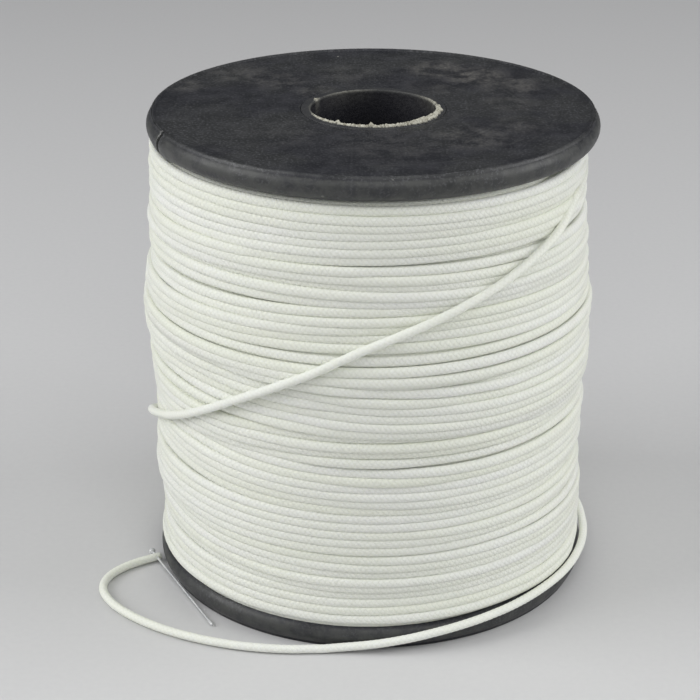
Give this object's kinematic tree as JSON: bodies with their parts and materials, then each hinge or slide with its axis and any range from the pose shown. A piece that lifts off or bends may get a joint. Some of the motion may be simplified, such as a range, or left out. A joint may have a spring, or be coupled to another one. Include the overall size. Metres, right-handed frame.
{
  "type": "string reel",
  "caption": "Black flanged reel wound full of white braided string, with a central spindle bore and a loose outer turn that pays off over the rim.",
  "frame": {"origin": "on the reel's axis, halfway between its two flange faces", "axes": "+Z along the reel's axis towards the flange with the slit rim; -Y towards the side that the loose turn crosses; +X to the right seen from there"},
  "size_m": [0.0823, 0.0745, 0.0784],
  "materials": {
    "black_plastic": "semi-matt moulded charcoal black, dusty and scuffed",
    "hub_plastic": "matt moulded black, its flared end roughened and whitened",
    "clear_tape": "clear adhesive tape",
    "white_string": "white braided synthetic string",
    "clear_nylon": "translucent white nylon"
  },
  "bodies": {
    "reel": {"top_flange": "black_plastic", "bottom_flange": "black_plastic", "hub_tube": "hub_plastic", "start_tape": "clear_tape", "wound_string": "white_string"},
    "turn": {"loose_turn": "white_string"},
    "end": {"free_end": "white_string"},
    "pin": {"tag_pin": "clear_nylon"}
  },
  "joints": [
    {"name": "string_unwind", "type": "hinge", "parent": "reel", "child": "turn", "pos_m": [0, 0, 0], "axis": [0, 0, 1], "continuous": true},
    {"name": "free_end_swing", "type": "hinge", "parent": "turn", "child": "end", "pos_m": [-0.0078, -0.03668, -0.03831], "axis": [0, 0, 1], "range_deg": [0, 35]},
    {"name": "tag_pin_pull", "type": "slide", "parent": "end", "child": "pin", "axis": [-0.4593, 0.888, 0.0226], "range_m": [0, 0.02]}
  ]
}
